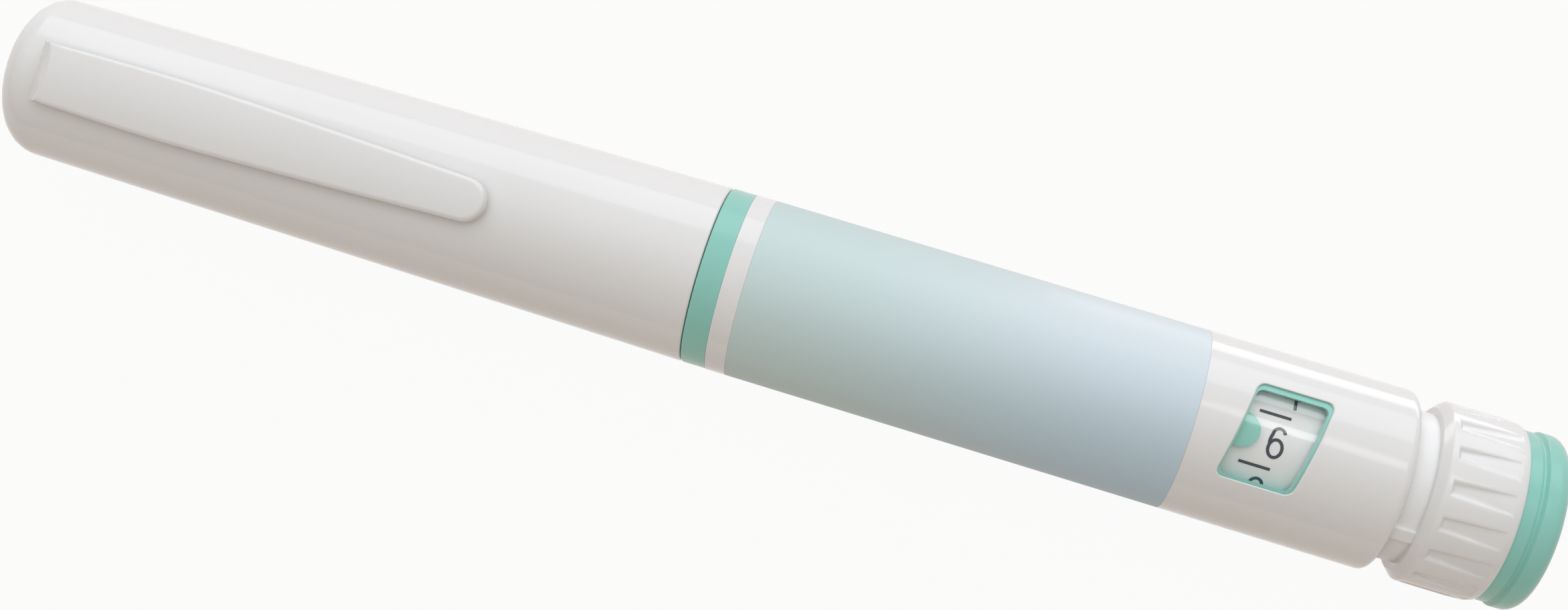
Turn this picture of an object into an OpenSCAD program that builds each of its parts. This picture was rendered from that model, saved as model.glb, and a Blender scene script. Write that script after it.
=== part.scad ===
// Prefilled injection pen, cap on and six units dialled.
// The pen lies along X, needle end first, with its window and pocket clip upwards on +Z.
// The origin is on the pen's axis at the front face of the needle thread. Millimetres.

/* [Cartridge] */
// Outside diameter of the glass cartridge
glass_d = 11.6; // [11:0.1:12]
// Wall of the glass cartridge
glass_wall = 0.98; // [0.8:0.02:1.2]
// Length of the cartridge from septum to open end
cartridge_l = 64; // [60:0.5:68]
// Outside diameter of the crimp on the cartridge's neck
crimp_d = 7.5; // [7:0.1:8]
// Wall of the cartridge holder
holder_wall = 0.7; // [0.5:0.05:1]
// Pitch of the needle thread
thread_pitch = 1; // [0.8:0.1:1.2]

/* [Housing] */
// Wall of the housing's nose, inside the cap
nose_wall = 0.62; // [0.5:0.02:0.9]
// Wall of the housing round the number sleeve
body_wall = 1.25; // [1.1:0.05:1.5]
// Rounding of the housing's rear edge
body_round = 0.9; // [0.4:0.1:0.9]

/* [Cap] */
// How far the cap reaches past the needle thread
cap_reach = 6; // [5:0.1:12]
// How much narrower the cap is at its closed end than at its mouth
cap_narrowing = 1.66; // [0.4:0.02:1.8]
// Wall of the cap
cap_wall = 1; // [0.8:0.05:1.2]
// Thickness of the cap's closed end
cap_end_wall = 1.6; // [1.2:0.1:2.4]
// Rounding of the cap's closed end
cap_round = 2.8; // [1.5:0.1:3.2]

/* [Pocket clip] */
// Length of the clip
clip_l = 45.7; // [38:0.1:52]
// Width of the clip at its widest
clip_w = 6.2; // [5:0.1:7]
// Width of the clip at its root
clip_root_w = 5.7; // [4.5:0.1:6.2]
// Width of the clip's rounded tip
clip_tip_w = 4.2; // [3:0.1:5]
// Thickness of the clip over the cap
clip_t = 1.25; // [1:0.05:1.6]
// Gap between clip and cap
clip_gap = 0.35; // [0.3:0.05:0.6]
// Distance from the cap's closed end to the clip
clip_inset = 4; // [3.5:0.1:6]
// Turn of the cap about the pen, 0 with clip and window in line
cap_turn = 4.2; // [-20:0.1:20]

/* [Rings and label] */
// Width of the coloured trim ring
ring_w = 2.4; // [1.5:0.1:3]
// Width of the bare band in front of the label
band_w = 2; // [1:0.1:3]
// Distance from the label to the window
label_gap = 3.1; // [2:0.1:6]
// Thickness of the label
label_t = 0.08; // [0.05:0.01:0.12]

/* [Dose window] */
// Length of the window along the pen
window_w = 7.1; // [6:0.1:8]
// Height of the window across the pen
window_h = 9.2; // [8:0.1:10]
// Lean of the window, from its lower to its upper edge
window_lean = 1.7; // [0:0.1:2.5]
// Distance from the window's middle to the housing's rear end
window_back = 12.5; // [10:0.1:14]
// Radius of the dose pointer
pointer_r = 1.65; // [1.2:0.05:2]

/* [Dose scale] */
// Wall of the number sleeve
drum_wall = 0.9; // [0.7:0.05:1.1]
// Units in one turn of the knob
units_per_turn = 18; // [18:1:24]
// How far one turn of the knob winds the sleeve out
dose_pitch = 5.3; // [4:0.1:5.8]
// Units dialled in the pose drawn
dialled_count = 6; // [0:1:8]
// Largest dose in units
dose_count = 60; // [40:1:60]
// Gap between housing and knob at zero
zero_gap = 0.33; // [0.3:0.01:0.6]

/* [Knob and button] */
// Length of the dose knob
knob_l = 7.9; // [7.7:0.1:10]
// Wall of the knob round the button
knob_wall = 0.41; // [0.4:0.01:0.8]
// Number of grip recesses
grip_count = 16; // [12:1:20]
// Depth of a grip recess at its front end
grip_depth = 0.35; // [0.1:0.05:0.45]
// Length of button that shows behind the knob
button_l = 4; // [3.5:0.1:6]
// Travel of the button when pressed
button_travel = 1.2; // [0.8:0.1:1.2]

/* [Hidden] */

round_fn = 96;
arc_steps = 6;
overrun = 1;
run_gap = 0.08;   // between a sleeve and the bore it turns or slides in
free_gap = 0.3;   // between parts that pass without guiding each other
end_play = 0.6;   // left over at the end of the button's travel

// Radii, from the cartridge outwards to the housing and back in to the number sleeve
glass_r = glass_d / 2;
glass_bore_r = glass_r - glass_wall;
glass_gap = 0.25;
holder_bore_r = glass_r + glass_gap;
holder_r = holder_bore_r + holder_wall;
seat_gap = 0.03;
seat_r = holder_r + seat_gap;
nose_r = seat_r + nose_wall;
cap_mouth_r = nose_r + free_gap + cap_wall;
body_step = 0.05;
body_r = cap_mouth_r + body_step;
bore_r = body_r - body_wall;
drum_r = bore_r - free_gap;
drum_bore_r = drum_r - drum_wall;
tall = 2 * body_r;   // taller than the pen, for upright prisms

// Cartridge and holder
tip_wall = 1.2;
tip_gap = 0.1;
tip_skin = 0.4;
tip_l = 7.2;
tip_hole_r = 2.3;
thread_depth = 0.35;
thread_crest_share = 0.55;
thread_turns = 5;
shoulder_l = 3.6;
crimp_r = crimp_d / 2;
crimp_wall = 0.25;
crimp_l = 5.4;
crimp_open_r = 1.7;
septum_l = 2.2;
flange_r = crimp_r - crimp_wall;
flange_l = 2.6;
neck_step = 0.75;
neck_wall = 0.85;
neck_l = 2.2;
neck_r = flange_r - neck_step;
thread_root_r = crimp_r + tip_gap + tip_skin;
thread_r = thread_root_r + thread_depth;
cartridge_x0 = tip_wall + tip_gap;
glass_x0 = cartridge_x0 + septum_l;
barrel_x0 = tip_l + shoulder_l + thread_depth;
glass_x1 = cartridge_x0 + cartridge_l;
holder_overhang = 1.3;
holder_x1 = glass_x1 + holder_overhang;
cushion_l = 2.9;
cushion_wall = 0.8;
cushion_lobe = 0.5;
cushion_lobes = 6;

// Plunger, whose stroke runs until the stopper meets the glass shoulder
stopper_l = 9;
stopper_ribs = 3;
stopper_waist = 0.35;
foot_inset = 4.35;
foot_t = 1.2;
foot_gap = 0.52;
foot_collar_r = 2.9;
foot_collar_l = 2.3;
foot_x0 = glass_x1 - foot_inset;
stopper_x0 = foot_x0 - stopper_l;
stroke = stopper_x0 - free_gap - barrel_x0;
insert_l = 9.3;
insert_wall = 1;
insert_x0 = glass_x1 + cushion_l;
insert_x1 = insert_x0 + insert_l;
rod_r = 3.2;
rod_thread_depth = 0.55;
rod_pitch = 2.65;
rod_flank_share = 0.22;
rod_crest_share = 0.24;
journal_r = 1.6;
rod_reserve = 3;
rod_x0 = foot_x0 + foot_t + foot_collar_l + free_gap;
rod_x1 = insert_x1 + stroke + rod_reserve;
rod_ridges = floor((rod_x1 - rod_x0 - rod_pitch) / rod_pitch);

// Cap and clip
mouth_inset = 1;
mouth_bevel = 0.25;
mouth_x = glass_x1 - mouth_inset;
cap_x0 = -cap_reach;
cap_end_r = cap_mouth_r - cap_narrowing / 2;
cap_taper_share = (cap_mouth_r - cap_end_r) / (mouth_x - cap_x0);
clip_x0 = cap_x0 + clip_inset;
clip_x1 = clip_x0 + clip_l;
clip_wide_share = 0.32;
clip_crown_r = 12;
clip_scoop_r = 9;
clip_scoop_lean = 42;
clip_scoop_depth = 0.55;
tab_inset = 1.3;
tab_x0 = clip_x0 + tab_inset;
tab_l = 2.2;
tab_w = 3;
tab_reach = 0.1;

// Housing, long enough to cover the rod at the end of the clutch
rod_cover = 10.5;
body_x1 = rod_x1 + rod_cover;
nose_l = 7;
nose_x0 = mouth_x - nose_l;
snap_inset = 3.6;
snap_x = mouth_x - snap_inset;
snap_l = 1;
snap_r = nose_r + free_gap - run_gap;
edge_land = 0.05;
rear_bore_r = body_r - body_round - edge_land;
rear_bore_l = 5;
seam_turn = 37.5;   // start of the turned surface, clear of the window and of its far side
ring_gap = 0.1;
ring_x0 = mouth_x + ring_gap;
ring_x1 = ring_x0 + ring_w;
label_sink = 0.01;

// Window
window_x = body_x1 - window_back;
window_corner = 0.75;
window_lip = 0.25;
lip_depth = 0.27;
frame_side = 0.17;
frame_top = 0.48;
frame_tuck = 0.6;
tuck_depth = 0.6;
tuck_r = body_r - tuck_depth;
frame_r = body_r - lip_depth;
lens_lift = 0.04;
lens_t = 0.41;
lens_floor_r = bore_r + lens_lift;
lens_r = lens_floor_r + lens_t;
pointer_t = 0.3;
pointer_x = window_x - window_w / 2 + window_lip + frame_side;
label_x0 = ring_x1 + band_w;
label_x1 = window_x - window_w / 2 - window_lean / 2 - label_gap;

// Dose drive
out_now = dialled_count / units_per_turn * dose_pitch;
out_max = dose_count / units_per_turn * dose_pitch;
knob_x0 = body_x1 + zero_gap + out_now;
knob_x1 = knob_x0 + knob_l;
button_x1 = knob_x1 + button_l;
web_inset = 2.2;
web_t = 2.8;
web_x0 = knob_x0 + web_inset;
web_x1 = web_x0 + web_t;
drum_cover = 0.5;   // how far the sleeve still reaches past the window at the largest dose
drum_x0 = window_x - window_w / 2 - window_lean / 2 - drum_cover - out_max;
drum_collar_l = 2.4;
lug_turn = -40.6;
lug_half_turn = 5.5;
lug_h = 0.35;
lug_l = 4.2;
slide_bore_r = rod_r + run_gap;
slide_wall = 0.95;
slide_r = slide_bore_r + slide_wall;
slide_gap = 0.5;
slide_flange_gap = 0.5;
slide_flange_r = bore_r - insert_wall - slide_flange_gap;
slide_flange_l = 1;
clutch_inset = 7.3;
clutch_l = 12.2;
clutch_end = 1.5;
clutch_wall = 1.2;
clutch_gap = 0.79;
clutch_x1 = web_x0 - clutch_inset;
slide_x0 = insert_x1 + slide_gap + out_now;
slide_x1 = clutch_x1 - clutch_end - button_travel - end_play;
nut_gap = 0.5;
nut_l = 4.2;
nut_x0 = slide_x0 + slide_flange_l + nut_gap;
nut_rib_w = 1.4;
nut_ribs = 4;
click_inset = 3;
click_x0 = drum_x0 + click_inset;
click_l = 3.5;
click_teeth = 24;
click_tooth = 0.5;
spring_wire = 0.6;
spring_turns = 6.5;
spring_sides = 8;
spring_steps = 14;

// Knob and button
knob_step = 0.03;
knob_r = body_r - knob_step;
knob_front_round = 0.85;
knob_rear_round = 0.5;
grip_front = 1.1;
grip_rear = 0.75;
grip_front_half = 0.65;
grip_rear_half = 1.05;
grip_fade = 0.06;
grip_turn = 1.5;
knob_bore_r = knob_r - knob_wall;
skirt_r = knob_bore_r - run_gap;
skirt_x0 = web_x1 + button_travel + end_play;
skirt_wall = 0.9;
button_step = 0.22;
button_r = skirt_r + button_step;
press_reserve = 0.25;
band_l = button_travel + press_reserve;
groove_w = 0.2;
groove_depth = 0.1;
crown_t = 2;
button_round = 0.8;
dish_depth = 0.3;
dish_r = 6;
stem_r = 2.6;
stem_hole_r = stem_r + free_gap;

// Radius of the cap's outside at a place along the pen
function cap_r(x) = cap_end_r + (x - cap_x0) * cap_taper_share;

// Points of an arc about c, from angle a to angle b
function arc(c, r, a, b) =
    [for (i = [0:arc_steps]) let (t = a + (b - a) * i / arc_steps) c + r * [cos(t), sin(t)]];

// Closed outline, given anticlockwise, with each corner rounded to radius r
function rounded(p, r) = [for (i = [0:len(p) - 1]) let (
        here = p[i],
        to_last = p[(i + len(p) - 1) % len(p)] - here,
        to_next = p[(i + 1) % len(p)] - here,
        u = to_last / norm(to_last),
        v = to_next / norm(to_next),
        half = acos(u * v) / 2,
        middle = (u + v) / norm(u + v),
        c = here + middle * r / sin(half))
    each [for (k = [0:arc_steps]) let (t = (90 - half) * (2 * k / arc_steps - 1))
        c - r * [middle[0] * cos(t) - middle[1] * sin(t), middle[0] * sin(t) + middle[1] * cos(t)]]];

// Outline of the window, drawn in from its edge by dx along the pen and dy across it
function window_outline(dx, dy) = let (
        w = window_w / 2 - dx,
        h = window_h / 2 - dy,
        lean = window_lean / window_h)
    rounded([[window_x - w - h * lean, -h], [window_x + w - h * lean, -h],
        [window_x + w + h * lean, h], [window_x - w + h * lean, h]], window_corner);

// Solid of revolution about the pen's axis, from points [radius, x]
module turned(profile) {
    rotate([0, 90, 0]) rotate_extrude($fn = round_fn) polygon(profile);
}

// Plain tube about the pen's axis
module tube(r_out, r_in, x0, x1) {
    turned([[r_in, x0], [r_out, x0], [r_out, x1], [r_in, x1]]);
}

// Plain rod about the pen's axis
module bar(r, x0, x1) {
    translate([x0, 0, 0]) rotate([0, 90, 0]) cylinder(r = r, h = x1 - x0, $fn = round_fn);
}

// Upright prism on the window's outline
module window_prism(dx, dy) {
    linear_extrude(height = tall) polygon(window_outline(dx, dy));
}

module housing() color("#f2f1ee") {
    label_seat_r = body_r - label_t - label_sink;
    difference() {
        rotate([seam_turn, 0, 0]) turned(concat(
            [[seat_r, nose_x0], [nose_r - mouth_bevel, nose_x0], [nose_r, nose_x0 + mouth_bevel],
                [nose_r, snap_x - snap_l], [snap_r, snap_x - snap_l / 2],
                [snap_r, snap_x + snap_l / 2], [nose_r, snap_x + snap_l],
                [nose_r, ring_x1], [body_r, ring_x1], [body_r, label_x0],
                [label_seat_r, label_x0], [label_seat_r, label_x1], [body_r, label_x1]],
            arc([body_r - body_round, body_x1 - body_round], body_round, 0, 90),
            [[rear_bore_r, body_x1], [rear_bore_r, body_x1 - rear_bore_l],
                [bore_r, body_x1 - rear_bore_l], [bore_r, insert_x0], [seat_r, insert_x0]]));
        window_prism(window_lip, window_lip);
        difference() {
            window_prism(0, 0);
            bar(frame_r, window_x - window_w, window_x + window_w);
        }
        intersection() {
            window_prism(window_lip - frame_tuck, window_lip - frame_tuck);
            bar(tuck_r, window_x - window_w, window_x + window_w);
        }
    }
}

module trim_ring() color("#8ccfc0") {
    turned([[nose_r, ring_x0], [cap_mouth_r - ring_gap, ring_x0],
        [cap_mouth_r, ring_x0 + ring_gap], [cap_mouth_r, ring_x1], [nose_r, ring_x1]]);
}

module label() color("#c4d6de") {
    tube(body_r - label_sink, body_r - label_sink - label_t, label_x0, label_x1);
}

module window_frame() color("#8ccfc0") {
    difference() {
        union() {
            intersection() {
                window_prism(window_lip - frame_tuck, window_lip - frame_tuck);
                tube(tuck_r, bore_r, window_x - window_w, window_x + window_w);
            }
            intersection() {
                window_prism(window_lip, window_lip);
                tube(frame_r, lens_r, window_x - window_w, window_x + window_w);
            }
        }
        window_prism(window_lip + frame_side, window_lip + frame_top);
    }
    intersection() {
        tube(lens_floor_r + pointer_t, lens_floor_r, pointer_x - frame_side, window_x);
        translate([pointer_x, 0, 0])
            cylinder(r = pointer_r, h = tall, $fn = round_fn);
    }
}

module window_lens() color("#e8f0f2", 0.4) {
    difference() {
        intersection() {
            window_prism(window_lip + frame_side, window_lip + frame_top);
            tube(lens_r, lens_floor_r, window_x - window_w, window_x + window_w);
        }
        intersection() {
            bar(lens_floor_r + pointer_t, window_x - window_w, window_x + window_w);
            translate([pointer_x, 0, 0])
                cylinder(r = pointer_r, h = tall, $fn = round_fn);
        }
    }
}

module cartridge_holder() color("#dfe8ea", 0.5) {
    crest = thread_pitch * thread_crest_share;
    flank = (thread_pitch - crest) / 3;
    turned(concat(
        [[tip_hole_r, 0]],
        [for (i = [0:thread_turns - 1]) let (x = i * thread_pitch)
            each [[thread_r, x], [thread_r, x + crest], [thread_root_r, x + crest + flank],
                [thread_root_r, x + thread_pitch - flank]]],
        [[thread_root_r, tip_l], [holder_r, tip_l + shoulder_l], [holder_r, holder_x1],
            [holder_bore_r, holder_x1], [holder_bore_r, barrel_x0],
            [crimp_r + tip_gap, tip_l + thread_depth], [crimp_r + tip_gap, tip_wall],
            [tip_hole_r, tip_wall]]));
}

module cartridge_glass() color("#e6f1f2", 0.35) {
    neck_bore_r = neck_r - neck_wall;
    turned([[neck_bore_r, glass_x0], [flange_r, glass_x0], [flange_r, glass_x0 + flange_l],
        [neck_r, glass_x0 + flange_l], [neck_r, glass_x0 + flange_l + neck_l],
        [glass_r, barrel_x0], [glass_r, glass_x1], [glass_bore_r, glass_x1],
        [glass_bore_r, barrel_x0], [neck_bore_r, glass_x0 + flange_l + neck_l]]);
}

module crimp_cap() color("#c9ccd0") {
    lip_x = glass_x0 + flange_l;
    turned([[crimp_open_r, cartridge_x0], [crimp_r, cartridge_x0],
        [crimp_r, cartridge_x0 + crimp_l], [neck_r, cartridge_x0 + crimp_l],
        [neck_r, lip_x], [flange_r, lip_x], [flange_r, cartridge_x0 + crimp_wall],
        [crimp_open_r, cartridge_x0 + crimp_wall]]);
}

module septum() color("#6d7276") {
    bar(flange_r, cartridge_x0 + crimp_wall, glass_x0);
}

module cartridge_cushion() color("#d8d8d4") {
    difference() {
        tube(glass_r, glass_r - cushion_wall, glass_x1, insert_x0);
        for (i = [0:cushion_lobes - 1])
            rotate([i * 360 / cushion_lobes, 0, 0])
                translate([glass_x1 + cushion_l / 2 - cushion_lobe, -cushion_lobe, 0])
                    cube([2 * cushion_lobe, 2 * cushion_lobe, tall]);
    }
}

module threaded_insert() color("#e9e6df") {
    hub_r = slide_flange_r - free_gap;
    rim_r = bore_r - insert_wall;
    floor_x1 = insert_x0 + 2 * insert_wall;
    turned([[rod_r + run_gap, insert_x0], [bore_r, insert_x0], [bore_r, insert_x1],
        [rim_r, insert_x1], [rim_r, floor_x1], [hub_r, floor_x1], [hub_r, insert_x1],
        [rod_r + run_gap, insert_x1]]);
}

module cap_shell() color("#f2f1ee") rotate([cap_turn, 0, 0]) {
    difference() {
        turned(concat(
            [[0, cap_x0]],
            arc([cap_r(cap_x0 + cap_round) - cap_round, cap_x0 + cap_round], cap_round, -90, 0),
            [[cap_mouth_r - mouth_bevel * cap_taper_share, mouth_x - mouth_bevel],
                [cap_mouth_r - mouth_bevel, mouth_x], [cap_mouth_r - cap_wall, mouth_x],
                [cap_r(cap_x0 + cap_end_wall) - cap_wall, cap_x0 + cap_end_wall],
                [0, cap_x0 + cap_end_wall]]));
        // Slot for the clip's tab
        translate([tab_x0 - free_gap, -tab_w / 2 - free_gap, 0])
            cube([tab_l + 2 * free_gap, tab_w + 2 * free_gap, tall]);
    }
}

module pocket_clip() color("#f2f1ee") rotate([cap_turn, 0, 0]) {
    tip_r = clip_tip_w / 2;
    wide_x = clip_x0 + clip_l * clip_wide_share;
    low_z = cap_r(clip_x0) + clip_gap;
    tab_depth = cap_wall + tab_reach;
    difference() {
        intersection() {
            linear_extrude(height = tall) polygon(concat(
                [[clip_x0, clip_root_w / 2], [clip_x0, -clip_root_w / 2],
                    [wide_x, -clip_w / 2]],
                arc([clip_x1 - tip_r, 0], tip_r, -85, 85),
                [[wide_x, clip_w / 2]]));
            // Crowned top, which rises with the cap's taper
            translate([clip_x0 - overrun, 0, low_z + clip_t - clip_crown_r])
                rotate([0, 90 - atan(cap_taper_share), 0])
                    cylinder(r = clip_crown_r, h = clip_l + 2 * overrun, $fn = round_fn);
        }
        // Underside, a gap away from the cap
        turned([[0, clip_x0 - overrun], [cap_r(clip_x0 - overrun) + clip_gap, clip_x0 - overrun],
            [cap_r(clip_x1 + overrun) + clip_gap, clip_x1 + overrun], [0, clip_x1 + overrun]]);
        // Scooped root end
        translate([clip_x0 + clip_scoop_depth - clip_scoop_r / cos(clip_scoop_lean), 0, low_z])
            rotate([0, clip_scoop_lean, 0]) translate([0, 0, -2 * clip_scoop_r])
                cylinder(r = clip_scoop_r, h = 4 * clip_scoop_r, $fn = round_fn);
    }
    translate([tab_x0, -tab_w / 2, cap_r(tab_x0) - tab_depth])
        cube([tab_l, tab_w, tab_depth + clip_gap + clip_t / 2]);
}

module plunger_stopper() color("#6d7276") {
    r = glass_bore_r - run_gap;
    rib = stopper_l / (2 * stopper_ribs - 1);
    turned(concat([[0, stopper_x0]],
        [for (i = [0:stopper_ribs - 1]) let (x = stopper_x0 + 2 * i * rib)
            each [[r - (i == 0 ? 0 : stopper_waist), x], [r, x], [r, x + rib],
                [r - (i == stopper_ribs - 1 ? 0 : stopper_waist), x + rib]]],
        [[0, foot_x0]]));
}

module pressure_foot() color("#e9e6df") {
    foot_r = glass_bore_r - foot_gap;
    socket_r = journal_r + run_gap;
    turned([[0, foot_x0], [foot_r, foot_x0], [foot_r, foot_x0 + foot_t],
        [foot_collar_r, foot_x0 + foot_t], [foot_collar_r, foot_x0 + foot_t + foot_collar_l],
        [socket_r, foot_x0 + foot_t + foot_collar_l], [socket_r, foot_x0 + foot_t],
        [0, foot_x0 + foot_t]]);
}

module piston_rod() color("#e9e6df") {
    root = rod_r - rod_thread_depth;
    flank = rod_pitch * rod_flank_share;
    crest = rod_pitch * rod_crest_share;
    turned(concat(
        [[0, foot_x0 + foot_t + run_gap], [journal_r, foot_x0 + foot_t + run_gap],
            [journal_r, rod_x0], [root, rod_x0]],
        [for (i = [0:rod_ridges - 1]) let (x = rod_x0 + (i + 1) * rod_pitch)
            each [[root, x - flank], [rod_r, x], [rod_r, x + crest], [root, x + crest + flank]]],
        [[root, rod_x1], [0, rod_x1]]));
}

module drive_sleeve() color("#b9c7cc") {
    turned([[slide_bore_r, slide_x0], [slide_flange_r, slide_x0],
        [slide_flange_r, slide_x0 + slide_flange_l], [slide_r, slide_x0 + slide_flange_l],
        [slide_r, slide_x1], [slide_bore_r, slide_x1]]);
}

module last_dose_nut() color("#d9cfa6") {
    difference() {
        union() {
            bar(slide_flange_r, nut_x0, nut_x0 + nut_l);
            for (i = [0:nut_ribs - 1])
                rotate([i * 360 / nut_ribs, 0, 0])
                    translate([nut_x0, -nut_rib_w / 2, 0])
                        cube([nut_l, nut_rib_w, bore_r - free_gap]);
        }
        bar(slide_r + run_gap / 2, nut_x0 - overrun, nut_x0 + nut_l + overrun);
    }
}

module click_ring() color("#cfd4d6") {
    difference() {
        tube(drum_bore_r - run_gap, slide_r, click_x0, click_x0 + click_l);
        for (i = [0:click_teeth - 1])
            rotate([i * 360 / click_teeth, 0, 0])
                translate([click_x0 - overrun, -click_tooth / 2, drum_bore_r - 2 * click_tooth])
                    cube([overrun + click_tooth, click_tooth, 2 * click_tooth]);
    }
}

module clutch_spring() color("#b4b7ba") {
    wire_r = spring_wire / 2;
    coil_r = (drum_bore_r + slide_r) / 2;
    x0 = click_x0 + click_l + wire_r;
    x1 = clutch_x1 - clutch_l - wire_r;
    rings = spring_turns * spring_steps;
    points = [for (i = [0:rings]) let (
            t = 360 * i / spring_steps,
            x = x0 + (x1 - x0) * i / rings)
        each [for (k = [0:spring_sides - 1]) let (
                a = 360 * k / spring_sides,
                r = coil_r + wire_r * cos(a))
            [x + wire_r * sin(a), r * sin(t), r * cos(t)]]];
    last = rings * spring_sides;
    sides = [for (i = [0:rings - 1], k = [0:spring_sides - 1]) let (
            a = i * spring_sides + k,
            b = i * spring_sides + (k + 1) % spring_sides)
        each [[a, b, b + spring_sides], [a, b + spring_sides, a + spring_sides]]];
    ends = [for (k = [1:spring_sides - 2])
        each [[0, k + 1, k], [last, last + k, last + k + 1]]];
    polyhedron(points = points, faces = concat(sides, ends));
}

module clutch_sleeve() color("#d9cfa6") {
    r = drum_bore_r - run_gap;
    turned([[slide_r + run_gap, clutch_x1 - clutch_l], [r, clutch_x1 - clutch_l],
        [r, clutch_x1 - clutch_end], [r, clutch_x1], [0, clutch_x1],
        [0, clutch_x1 - clutch_end], [slide_r + clutch_gap, clutch_x1 - clutch_end],
        [slide_r + clutch_gap, clutch_x1 - clutch_l + clutch_wall],
        [slide_r + run_gap, clutch_x1 - clutch_l + clutch_wall]]);
}

module number_sleeve() color("#f4f6f7") {
    collar_r = bore_r - run_gap;
    turned([[drum_bore_r, drum_x0], [collar_r, drum_x0], [collar_r, drum_x0 + drum_collar_l],
        [drum_r, drum_x0 + drum_collar_l], [drum_r, web_x0], [drum_bore_r, web_x0]]);
    // Zero stop, which shows in the gap in front of the knob
    half_w = drum_r * sin(lug_half_turn);
    rotate([-lug_turn, 0, 0]) intersection() {
        translate([knob_x0 - lug_l, -half_w, 0]) cube([lug_l, 2 * half_w, tall]);
        tube(drum_r + lug_h, drum_r - drum_wall / 2, knob_x0 - lug_l, knob_x0);
    }
}

module dose_knob() color("#f2f1ee") {
    grip_x0 = knob_x0 + grip_front;
    grip_x1 = knob_x1 - grip_rear;
    pitch = 360 / grip_count;
    rotate([pitch / 2 - grip_turn, 0, 0]) difference() {
        turned(concat(
            [[drum_r, knob_x0]],
            arc([knob_r - knob_front_round, knob_x0 + knob_front_round], knob_front_round, -90, 0),
            arc([knob_r - knob_rear_round, knob_x1 - knob_rear_round], knob_rear_round, 0, 50),
            [[knob_bore_r, knob_x1], [knob_bore_r, web_x1],
                [stem_hole_r, web_x1], [stem_hole_r, web_x0], [drum_r, web_x0]]));
        difference() {
            for (i = [0:grip_count - 1])
                rotate([(i + 0.5) * pitch, 0, 0])
                    linear_extrude(height = tall)
                        polygon([[grip_x0, -grip_front_half], [grip_x1, -grip_rear_half],
                            [grip_x1, grip_rear_half], [grip_x0, grip_front_half]]);
            turned([[0, grip_x0 - overrun], [knob_r - grip_depth, grip_x0 - overrun],
                [knob_r - grip_depth, grip_x0], [knob_r - grip_fade, grip_x1],
                [knob_r - grip_fade, grip_x1 + overrun], [0, grip_x1 + overrun]]);
        }
    }
}

module button_stem() color("#e9e6df") {
    bar(stem_r, clutch_x1, button_x1 - crown_t);
}

module injection_button() color("#8ccfc0") {
    step_x = knob_x1 + band_l;
    turned(concat(
        [[0, button_x1 - crown_t], [skirt_r - skirt_wall, button_x1 - crown_t],
            [skirt_r - skirt_wall, skirt_x0], [skirt_r, skirt_x0],
            [skirt_r, step_x - groove_w], [skirt_r - groove_depth, step_x - groove_w],
            [skirt_r - groove_depth, step_x], [button_r, step_x]],
        arc([button_r - button_round, button_x1 - button_round], button_round, 0, 90),
        [[dish_r, button_x1], [0, button_x1 - dish_depth]]));
}

housing();
trim_ring();
label();
window_frame();
window_lens();
cartridge_holder();
cartridge_glass();
crimp_cap();
septum();
cartridge_cushion();
threaded_insert();
cap_shell();
pocket_clip();
plunger_stopper();
pressure_foot();
piston_rod();
drive_sleeve();
last_dose_nut();
click_ring();
clutch_spring();
clutch_sleeve();
number_sleeve();
dose_knob();
button_stem();
injection_button();
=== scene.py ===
import math

import bmesh
import bpy
from mathutils import Matrix, Vector


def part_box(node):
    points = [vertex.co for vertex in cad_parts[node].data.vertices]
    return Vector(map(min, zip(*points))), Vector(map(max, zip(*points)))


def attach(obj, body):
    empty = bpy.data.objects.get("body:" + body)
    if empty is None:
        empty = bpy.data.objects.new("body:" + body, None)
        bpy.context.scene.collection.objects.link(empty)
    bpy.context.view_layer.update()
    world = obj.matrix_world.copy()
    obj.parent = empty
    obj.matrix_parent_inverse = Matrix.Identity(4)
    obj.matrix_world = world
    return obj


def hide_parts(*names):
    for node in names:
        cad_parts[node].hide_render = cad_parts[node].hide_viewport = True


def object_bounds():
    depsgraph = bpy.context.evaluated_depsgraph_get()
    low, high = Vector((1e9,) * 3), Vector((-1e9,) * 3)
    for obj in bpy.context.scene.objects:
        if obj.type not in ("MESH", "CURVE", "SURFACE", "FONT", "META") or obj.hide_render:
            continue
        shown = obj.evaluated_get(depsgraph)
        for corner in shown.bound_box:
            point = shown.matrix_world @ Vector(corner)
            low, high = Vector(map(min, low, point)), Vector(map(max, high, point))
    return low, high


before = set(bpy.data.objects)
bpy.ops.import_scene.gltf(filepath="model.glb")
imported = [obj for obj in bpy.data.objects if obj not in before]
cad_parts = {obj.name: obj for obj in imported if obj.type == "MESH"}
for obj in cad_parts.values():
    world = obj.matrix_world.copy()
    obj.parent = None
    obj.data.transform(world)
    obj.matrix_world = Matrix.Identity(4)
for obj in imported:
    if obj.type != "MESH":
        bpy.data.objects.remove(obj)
cadLow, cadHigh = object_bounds()
bpy.ops.object.select_all(action="DESELECT")
print("frame loaded:", len(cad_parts), "nodes")

mm = 0.001


def sizeOf(node):  # lowest and highest corner of a CAD node, in millimetres
    low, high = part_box(node)
    return low / mm, high / mm


# ---- materials ----

def linear(hexColour):
    parts = [int(hexColour[i:i + 2], 16) / 255 for i in (1, 3, 5)]
    return [c / 12.92 if c <= 0.04045 else ((c + 0.055) / 1.055) ** 2.4 for c in parts] + [1]


def addNode(tree, kind, settings={}, inputs={}):
    made = tree.nodes.new("ShaderNode" + kind)
    for name, value in settings.items():
        setattr(made, name, value)
    for name, value in inputs.items():
        if isinstance(value, bpy.types.NodeSocket):
            tree.links.new(value, made.inputs[name])
        else:
            made.inputs[name].default_value = value
    return made


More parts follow.
